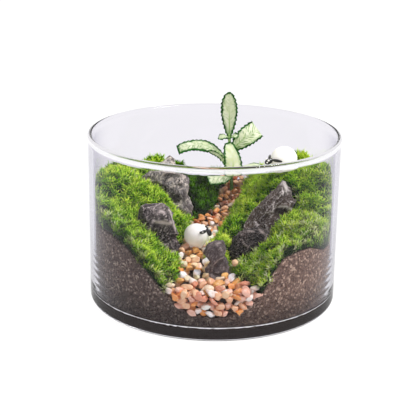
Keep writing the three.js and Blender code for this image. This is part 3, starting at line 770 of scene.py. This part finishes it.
def make_gravel(material):
    rng = np.random.default_rng(5)
    ball, ball_faces = grain_shape()
    points = []
    faces = []
    colours = []
    for place in gravel_places(rng):
        share = 1 if place[1] < SMALL_PEBBLES_FROM else SMALL_PEBBLE_SHARE
        grain = make_grain(ball, np.array(PEBBLE_SIZE) * share, rng) + np.array(place)
        faces.append(ball_faces + len(ball) * len(points))
        points.append(keep_in_glass(grain))
        colours.append(np.tile(grain_colour(place[1], rng), (len(ball), 1)))
    mesh = mesh_of("gravel_grains", np.concatenate(points), np.concatenate(faces).tolist())
    store(mesh, "grain", np.concatenate(colours), "FLOAT_COLOR")
    add_piece("gravel_grains", mesh, [material], "gravel", "gravel_path")


def make_stray_grain(material):
    rng = np.random.default_rng(9)
    ball, faces = grain_shape()
    middle = np.mean(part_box("stray_pebble"), axis=0) / MM
    grain = make_grain(ball, (2.6, 2.3, 2), rng) + middle
    mesh = mesh_of("stray_grain", grain, faces.tolist())
    store(mesh, "grain", np.tile(colour("#f0c79a"), (len(ball), 1)), "FLOAT_COLOR")
    add_piece("stray_grain", mesh, [material], "gravel", "stray_pebble")


# Moss.

def shoot_places(core, skirt, rng):
    """Roots and normals of the shoots, spread over the open faces of a cushion."""
    core.calc_loop_triangles()
    points = mesh_points(core)
    corners = np.array([triangle.vertices for triangle in core.loop_triangles])
    first, second, third = (points[corners[:, place]] for place in range(3))
    wide, deep = second - first, third - first
    cross = np.cross(wide, deep)
    areas = np.linalg.norm(cross, axis=1) / 2
    count = int(areas.sum() * SHOOTS_PER_MM2 * 1.4)
    chosen = rng.choice(len(corners), count, p=areas / areas.sum())
    along, beside = rng.uniform(size=(2, count, 1))
    over = along + beside > 1
    along = np.where(over, 1 - along, along)
    beside = np.where(over, 1 - beside, beside)
    roots = first[chosen] + wide[chosen] * along + deep[chosen] * beside
    ways = unit(cross)[chosen]
    clear = [skirt.ray_cast(Vector(root + way * 0.2), Vector(way), 2.4)[0] is None
             for root, way in zip(roots, ways)]
    keep = (ways[:, 2] > -0.25) & np.array(clear)
    return roots[keep], ways[keep]


def moss_leaves(roots, ways, painted_light, growth, blockers, rng):
    """Stars of narrow leaves, cut short at stones: points, faces and each point's shade and shoot."""
    count = LEAVES_PER_SHOOT
    axes = unit(ways * 0.65 + np.array([0, 0, 0.75]) + rng.normal(scale=0.3, size=ways.shape))
    side = unit(np.cross(axes, rng.normal(size=axes.shape)))
    other = np.cross(axes, side)
    place = np.arange(count)
    turn = place * 2.4 + rng.uniform(0, 2 * pi, (len(roots), 1))
    lean = np.radians(12 + 66 * (place / count) ** 0.7) + rng.normal(scale=0.14, size=(len(roots), count))
    spin = np.cos(turn)[..., None] * side[:, None] + np.sin(turn)[..., None] * other[:, None]
    ahead = np.cos(lean)[..., None] * axes[:, None] + np.sin(lean)[..., None] * spin
    stem = growth * rng.uniform(*MOSS_STEM, (len(roots), 1)) * (1 - 0.5 * place / count)
    starts = roots[:, None] + axes[:, None] * (stem - 0.5)[..., None]
    size = growth * rng.uniform(*MOSS_LEAF_LENGTH, (len(roots), count))
    starts, ahead, spin = (values.reshape(-1, 3) for values in (starts, ahead, spin))
    size = size.ravel()
    # Each leaf's shade scale: the cushion's painted light, a random tone per shoot, and painted shade on
    # the lower, outer leaves.
    glow = (painted_light * rng.uniform(0.35, 1.1, (len(roots), 1)) * (1 - 0.55 * place / count)).ravel()
    reach = [blockers.ray_cast(Vector(start), Vector(way), length)[3] for start, way, length
             in zip(starts, ahead, size)]
    size = np.array([length if found is None else found - 0.1 for length, found in zip(size, reach)])
    keep = size > 0.9
    points, faces, shade = leaf_blades(starts[keep], ahead[keep], spin[keep], size[keep], glow[keep], rng)
    return points, faces, shade, np.repeat(np.flatnonzero(keep) // count, 7)


def leaf_blades(starts, ahead, spin, size, glow, rng):
    """Closed three-sided blades that bend a little outwards, as points, faces and shades."""
    flat = unit(np.cross(ahead, spin) + 1e-6)
    over = np.cross(ahead, flat)
    width = MOSS_LEAF_WIDTH * rng.uniform(0.7, 1.2, len(starts))
    bend = rng.uniform(0, 0.3, len(starts)) * size
    middle = starts + ahead * (size * 0.5)[:, None]
    tips = starts + ahead * size[:, None] + spin * bend[:, None]
    rows = []
    for centre, share in ((starts, 0.8), (middle, 1)):
        for angle in (0.5, 2.6, 4.7):
            reach = flat * cos(angle) + over * sin(angle) * 0.45
            rows.append(centre + reach * (width * share / 2)[:, None])
    rows.append(tips)
    points = np.stack(rows, axis=1).reshape(-1, 3)
    pattern = np.array([
        (0, 2, 1), (0, 1, 4), (0, 4, 3), (1, 2, 5), (1, 5, 4), (2, 0, 3), (2, 3, 5),
        (3, 4, 6), (4, 5, 6), (5, 3, 6)])
    faces = (pattern[None] + 7 * np.arange(len(starts))[:, None, None]).reshape(-1, 3)
    shade = (np.repeat(MOSS_SHADES, (3, 3, 1)) * glow[:, None]).ravel()
    return points, faces, shade


def make_cushion(name, look, seed, skirt, blockers, material):
    yellow, faded, painted_light, growth = look
    rng = np.random.default_rng(seed)
    core = refined(NODES[name].data, name + "_core", MOSS_VOXEL, 8)
    roots, ways = shoot_places(core, skirt, rng)
    patches = np.array([noise.noise(Vector(root) * 0.11) for root in roots])
    tints = np.clip(yellow + patches * 0.55 + rng.normal(scale=0.12, size=len(roots)), 0, 1)
    at_glass = np.clip((np.hypot(roots[:, 0], roots[:, 1]) - 66) / 5, 0, 1)
    chance = faded + 0.25 * at_glass * (roots[:, 1] < 0)
    fades = np.where(rng.uniform(size=len(roots)) < chance, rng.uniform(0.3, 0.9, len(roots)), 0)
    points, faces, shade, shoot = moss_leaves(roots, ways, painted_light, growth, blockers, rng)
    base = mesh_points(core)
    core_faces = [tuple(face.vertices) for face in core.polygons]
    mesh = mesh_of(name + "_shoots", keep_in_glass(np.concatenate([base, points])),
                   core_faces + (faces + len(base)).tolist())
    # The bare core under the shoots is near black: painted shade.
    for label, inner, outer in (("shade", 0.05, shade), ("tint", yellow * 0.6, tints[shoot]),
                                ("fade", 0, fades[shoot])):
        store(mesh, label, np.concatenate([np.full(len(base), inner), outer]))
    bpy.data.meshes.remove(core)
    add_piece(name + "_shoots", mesh, [material], "moss", name)


def make_moss(material):
    hard = ("stone", "sheep", "stray")
    blockers = solid_tree([name for name in NODES if name.startswith(hard)])
    for seed, (name, look) in enumerate(MOSS_CUSHIONS.items(), 30):
        around = [other for other in NODES if other not in (name, "glass_jar", "leafy_stem")]
        make_cushion(name, look, seed, solid_tree(around), blockers, material)


# Stones.

STONE_CHIPS = 30
CHIP_REACH = 8
STONE_GROWTH = 0.5
# Each stone's colours by tone, the colour of its crust and how much it covers, the way its grain leans
# in degrees and how it is stretched, and its painted highlights, as lines by two ends and a reach.
Stone = namedtuple("Stone", "seed stops crust crust_share lean scale bare")
STONES = {
    "stone_back_left": Stone(
        1, [(0.39, "#161212"), (0.5, "#5a5454"), (0.6, "#c6bfbd")], "#d6cabd", 0.3, 25, (1, 1, 0.6),
        [((-16.4, 14, 59.9), (-14.9, 14.8, 53.3), 0.9),
         ((-14.9, 14.8, 53.3), (-13, 17.2, 49.2), 0.7)]),
    "stone_front_left": Stone(
        2, [(0.4, "#100d0c"), (0.5, "#342d2e"), (0.62, "#857a78")], "#dccdc6", 0.15, -35, (1, 1, 0.5),
        [((-34.4, -31.1, 56.4), (-24.7, -30.1, 55.3), 1.1),
         ((-25.4, -25.1, 61.2), (-20, -31, 49), 1.1), ((-30.4, -28.8, 61.8), (-28, -29.1, 61), 1)]),
    "stone_centre": Stone(
        3, [(0.34, "#302a2a"), (0.5, "#574c4b"), (0.66, "#857873")], "#aa9c96", 0.06, -8, (1.4, 1, 0.35),
        [((2, -50.2, 50.5), (5.1, -48, 51), 0.8)]),
    "stone_right_large": Stone(
        12, [(0.36, "#261d18"), (0.5, "#463931"), (0.66, "#7f6e60")], "#dfd6d0", 0.07, -48, (0.3, 1, 1.3),
        [((41.2, -4.4, 72.3), (43.9, -9.3, 69.8), 1.9), ((42.4, -11, 69.9), (44.1, -12.2, 67), 0.8),
         ((44.1, -12.2, 67), (46, -13, 64.4), 0.8), ((42.3, -16.6, 61.8), (46.6, -14, 59.1), 0.8),
         ((25.6, -19.3, 51.7), (36.2, -18, 56.1), 0.8)]),
    "stone_right_low": Stone(
        5, [(0.4, "#060504"), (0.52, "#1a1412"), (0.63, "#584b45")], "#a3968e", 0.06, 10, (0.6, 1, 1.3),
        [((13.5, -30.2, 49.3), (23, -32.2, 52.4), 0.8),
         ((26.7, -30.3, 52.4), (29.9, -34.2, 50.6), 0.8)]),
}


def chip(points, normals, rng):
    """Knock flats off a stone: near each of many spots, what stands above a plane is cut back to it."""
    for _ in range(STONE_CHIPS):
        spot = rng.integers(len(points))
        flat = unit(normals[spot] + rng.normal(scale=0.28, size=3))
        level = points[spot] @ flat - rng.uniform(0.1, 0.7)
        away = np.linalg.norm(points - points[spot], axis=1)
        near = np.clip((CHIP_REACH - away) / 1.5, 0, 1)
        points -= (np.maximum(points @ flat - level, 0) * near)[:, None] * flat


def worn_edges(mesh, points, normals):
    """How much each point stands out from those around it, from 0 on flats to 1 on edges."""
    pairs = np.empty(len(mesh.edges) * 2, dtype=np.int32)
    mesh.edges.foreach_get("vertices", pairs)
    first, second = pairs.reshape(-1, 2).T
    around = np.zeros_like(points)
    count = np.zeros(len(points))
    for here, there in ((first, second), (second, first)):
        np.add.at(around, here, points[there])
        np.add.at(count, here, 1)
    around /= count[:, None]
    return np.clip(((points - around) * normals).sum(axis=1) / 0.12 - 0.35, 0, 1)


def near_lines(points, lines):
    """How near each point is to one of several lines, from 0 to 1; a line has two ends and a reach."""
    share = np.zeros(len(points))
    for start, end, reach in lines:
        way = np.subtract(end, start)
        along = np.clip((points - start) @ way / (way @ way), 0, 1)
        away = np.linalg.norm(points - start - along[:, None] * way, axis=1)
        share = np.maximum(share, np.clip(1.5 - away / reach, 0, 1))
    return share


def make_stone(name, look):
    """The CAD stone with chipped flats, layers along its grain and small pits."""
    seed = look.seed
    mesh = refined(NODES[name].data, name + "_rock", STONE_VOXEL, 2)
    points = mesh_points(mesh) + mesh_normals(mesh) * STONE_GROWTH
    chip(points, mesh_normals(mesh), np.random.default_rng(seed))
    place_points(mesh, points)
    normals = mesh_normals(mesh)
    turn = np.array(Matrix.Rotation(radians(look.lean), 3, "Y"))
    seat = Vector((seed * 17.3, seed * 5.1, 0))
    push = []
    for point in points:
        along = Vector((turn @ point) * np.array(look.scale)) + seat
        layers = 0.4 * abs(noise.noise(along * 0.45)) + 0.2 * abs(noise.noise(along * 1.2))
        lumps = noise.fractal(Vector(point) * 0.2 + seat, 0.9, 2.2, 5) * 0.6
        push.append(lumps - layers)
    points += normals * np.array(push)[:, None]
    points[:, 2] = np.minimum(points[:, 2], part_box(name)[1][2] / MM)
    place_points(mesh, points)
    store(mesh, "worn", worn_edges(mesh, points, mesh_normals(mesh)))
    store(mesh, "bare", near_lines(points, look.bare))
    add_piece(name + "_rock", mesh, [stone_material(name + "_rock", look)], "stone", name)


# Plant.

def leaf_width(along, fullest, tip):
    """Share of a leaf's full width at a place along it: widest at fullest, down to the tip's share."""
    if along < fullest:
        return sin(pi / 2 * (0.06 + 0.94 * along / fullest)) ** 0.75
    past = (along - fullest) / (1 - fullest)
    return tip + (1 - tip) * max(0, 1 - past ** 2.2) ** 0.6


def rib_point(rib, along):
    """Place and direction on the curve through a midrib of three points."""
    low, middle, high = (np.array(point) for point in rib)
    back = 1 - along
    place = low * back ** 2 + middle * 2 * back * along + high * along ** 2
    ahead = (middle - low) * 2 * back + (high - middle) * 2 * along
    return place, unit(ahead)


def leaf_mesh(leaf, seed):
    """One cupped blade with a toothed, slightly waved edge: its points, their places on it and values."""
    rng = np.random.default_rng(seed)
    waves = rng.uniform(0, 2 * pi, 2)
    length = np.linalg.norm(np.subtract(leaf.rib[2], leaf.rib[0]))
    teeth = max(2, round(length / TOOTH_SPACING))
    points = []
    blade = []
    values = []
    looks = (leaf.margin * MM, leaf.mottle, leaf.glow)
    across = [place / LEAF_LANES * 2 - 1 for place in range(LEAF_LANES + 1)]
    for step in range(LEAF_STEPS + 1):
        along = step / LEAF_STEPS
        middle, ahead = rib_point(leaf.rib, along)
        wide = np.array(leaf.across)
        side = unit(wide - ahead * (ahead @ wide))
        up = np.cross(side, ahead)
        tooth = TOOTH_DEPTH * (0.5 - (along * teeth) % 1)
        half = max(leaf.width / 2 * leaf_width(along, leaf.fullest, leaf.tip), 0.5)
        for face, lanes in ((1, across), (-1, across[::-1])):
            for lane in lanes:
                reach = half + min(tooth, half * 0.3) * abs(lane) ** 4
                wave = 0.35 * lane ** 2 * sin(along * 11 + waves[int(lane > 0)])
                groove = -0.22 * exp(-(lane / 0.12) ** 2) * (1 - along)
                depth = LEAF_EDGE_THICKNESS + (LEAF_THICKNESS - LEAF_EDGE_THICKNESS) * (1 - lane ** 2)
                lift = leaf.cup * half * lane ** 2 + wave + groove + face * depth / 2
                points.append(middle + side * reach * lane + up * lift)
                beside = abs(half * lane)
                blade.append((beside * MM, (along * length - 0.8 * beside) * MM, seed * 2 + (lane > 0)))
                to_end = length if leaf.cut else (1 - along) * length
                values.append((lane, along, min(half - beside, to_end) * MM, *looks))
    return points, blade, values


def blade_faces():
    """Faces of a blade: each step is a ring of points, out over its upper side and back below."""
    ring = (LEAF_LANES + 1) * 2
    faces = ring_faces(LEAF_STEPS + 1, ring)
    last = LEAF_STEPS * ring
    for lane in range(LEAF_LANES):
        below = ring - 1 - lane
        faces.append((lane, below, below - 1, lane + 1))
        faces.append((last + lane, last + lane + 1, last + below - 1, last + below))
    return faces


def stem_mesh():
    """A tapering stem with a small swelling at each pair of leaves."""
    sides, steps = 16, 60
    route = [np.array(point) for point in STEM_ROUTE]
    route = [2 * route[0] - route[1], *route, 2 * route[-1] - route[-2]]
    points = []
    for step in range(steps + 1):
        part = step / steps * (len(STEM_ROUTE) - 1)
        place = min(int(part), len(STEM_ROUTE) - 2)
        t = part - place
        a, b, c, d = route[place:place + 4]
        middle = 0.5 * (2 * b + (c - a) * t + (2 * a - 5 * b + 4 * c - d) * t ** 2
                        + (3 * b - a - 3 * c + d) * t ** 3)
        swelling = sum(0.25 * exp(-((middle[2] - height) / 1.6) ** 2) for height in (60, 70, 79, 87))
        radius = STEM_RADIUS * (1.05 - 0.4 * step / steps) + swelling
        for side in range(sides):
            turn = 2 * pi * side / sides
            points.append(middle + radius * np.array([cos(turn), sin(turn), 0]))
    faces = ring_faces(steps + 1, sides)
    faces.append(tuple(reversed(range(sides))))
    faces.append(tuple(range(steps * sides, steps * sides + sides)))
    return points, faces


def make_plant(leaf_look, stem_look):
    points, faces = stem_mesh()
    stem_faces = len(faces)
    blades = [(0, 0, 0)] * len(points)
    values = [(0,) * len(LEAF_VALUES)] * len(points)
    for seed, leaf in enumerate(LEAVES, 1):
        leaf_points, blade, leaf_values = leaf_mesh(leaf, seed)
        faces += [tuple(len(points) + corner for corner in face) for face in blade_faces()]
        points += leaf_points
        blades += blade
        values += leaf_values
    mesh = mesh_of("leafy_plant", points, faces)
    for name, numbers in zip(LEAF_VALUES, zip(*values)):
        store(mesh, name, numbers)
    store(mesh, "blade", blades, "FLOAT_VECTOR")
    add_piece("leafy_plant", mesh, [leaf_look, stem_look], "leaf", "leafy_stem")
    for face in mesh.polygons[:stem_faces]:
        face.material_index = 1


# Sheep figures.

def ellipsoid(shape, half, place, lean=0, turn=0):
    """Add an egg to a shape; sizes and places are in parts of the sheep's radius."""
    rotation = Matrix.Rotation(turn, 4, "Z") @ Matrix.Rotation(lean, 4, "Y")
    matrix = Matrix.Translation(place) @ rotation @ Matrix.Diagonal((*half, 1))
    bmesh.ops.create_icosphere(shape, subdivisions=4, radius=1, matrix=matrix)


def fused(name, eggs, sheep, voxel, smoothing):
    """Several eggs melted into one smooth form, standing where the sheep stands."""
    shape = bmesh.new()
    for egg in eggs:
        ellipsoid(shape, *egg)
    turn = Matrix.Rotation(radians(sheep["turn"]), 4, "Z")
    place = Matrix.Translation(Vector(sheep["stands"]) * MM) @ turn
    shape.transform(place @ Matrix.Scale(sheep["radius"] * MM, 4))
    rough = bpy.data.meshes.new(name)
    shape.to_mesh(rough)
    shape.free()
    fine = refined(rough, name, voxel, smoothing)
    bpy.data.meshes.remove(rough)
    return fine


def make_sheep(name, sheep, white, black):
    sides = (1, -1)
    feet = [((0.22, 0.22, 0.28), (along * 0.34, side * 0.2, 0.27)) for along in sides for side in sides]
    mesh = fused(name + "_ball", [(SHEEP_BODY, (0, 0, 1)), *feet], sheep, SHEEP_VOXELS[0], 4)
    add_piece(name + "_ball", mesh, [white], "sheep_white", name + "_body")

    def near_head(along, side, up):
        return sheep["ahead"] + along, side, 1 + sheep["above"] + up

    head = [((0.21, 0.2, 0.34), near_head(0, 0, 0), -sheep["lean"])]
    back = EAR_ROOT[0] - sheep["ear"] * cos(EAR_SPREAD)
    out = EAR_ROOT[1] + sheep["ear"] * sin(EAR_SPREAD)
    ear = (sheep["ear"], 0.1, sheep["lobe"])
    head += [(ear, near_head(back, side * out, 0.16), 0, -side * EAR_SPREAD) for side in sides]
    mesh = fused(name + "_face", head, sheep, SHEEP_VOXELS[1], 3)
    add_piece(name + "_face", mesh, [black], "sheep_black", name + "_head")
    marks = [(half, near_head(*place)) for half, place in sheep["marks"]]
    mesh = fused(name + "_marks", marks, sheep, SHEEP_VOXELS[2], 1)
    add_piece(name + "_marks", mesh, [white], "sheep_white")


# Stage, lights and camera.

def make_stage():
    floor = bmesh.new()
    bmesh.ops.create_grid(floor, x_segments=4, y_segments=4, size=5)
    mesh = bpy.data.meshes.new("table")
    floor.to_mesh(mesh)
    floor.free()
    mesh.materials.append(table_material())
    table = put_in_scene("table", mesh)
    table.location.z = -TABLE_GAP * MM


def make_lights():
    """A white studio that is brightest at the level of the table, and a sun from the right."""
    world = bpy.data.worlds.new("studio")
    bpy.context.scene.world = world
    world.use_nodes = True
    tree = world.node_tree
    height = axis(node(tree, "TexCoord").outputs["Generated"])
    glow = node(tree, "MapRange", Value=height, From_Max=0.8, To_Min=1, To_Max=0.5)
    fill(tree.nodes["Background"], Color="#ffffff", Strength=glow.outputs["Result"])
    light = bpy.data.lights.new("key", "SUN")
    light.energy = SUN_POWER
    light.angle = radians(SUN_ANGLE)
    sun = put_in_scene("key", light)
    sun.location = Vector(SUN_PLACE) * MM
    way = (Vector(SUN_TARGET) * MM - sun.location).normalized()
    sun.rotation_euler = way.to_track_quat("-Z", "Y").to_euler()
    bpy.context.scene.view_settings.view_transform = "Standard"


def make_camera():
    camera = put_in_scene("camera", bpy.data.cameras.new("camera"))
    tilt = Matrix.Rotation(radians(90 - VIEW_TILT), 4, "X")
    roll = Matrix.Rotation(radians(VIEW_ROLL), 4, "Z")
    middle = Matrix.Translation((0, 0, JAR_HEIGHT / 2 * MM))
    camera.matrix_world = middle @ tilt @ roll @ Matrix.Translation((0, 0, VIEW_DISTANCE * MM))
    camera.data.lens = camera.data.sensor_width * FOCAL_PIXELS / FRAME_PIXELS
    camera.data.shift_x = 0.5 - FRAME_CENTRE[0] / FRAME_PIXELS
    camera.data.shift_y = FRAME_CENTRE[1] / FRAME_PIXELS - 0.5
    bpy.context.scene.camera = camera


def main():
    make_camera()
    make_jar(glass_material())
    make_soil(soil_material())
    gravel = gravel_material()
    make_gravel(gravel)
    make_stray_grain(gravel)
    make_moss(moss_material())
    for name, look in STONES.items():
        make_stone(name, look)
    make_plant(leaf_material(), stem_material())
    # The white glaze's glow of 0.2 is painted light.
    white = glaze_material("white_glaze", "#f3eee4", "#faf8f2", 0.28, 0.2)
    black = glaze_material("black_glaze", "#131112", "#1f1c1d", 0.3, 0)
    for name, sheep in SHEEP.items():
        make_sheep(name, sheep, white, black)
    make_stage()
    make_lights()


main()
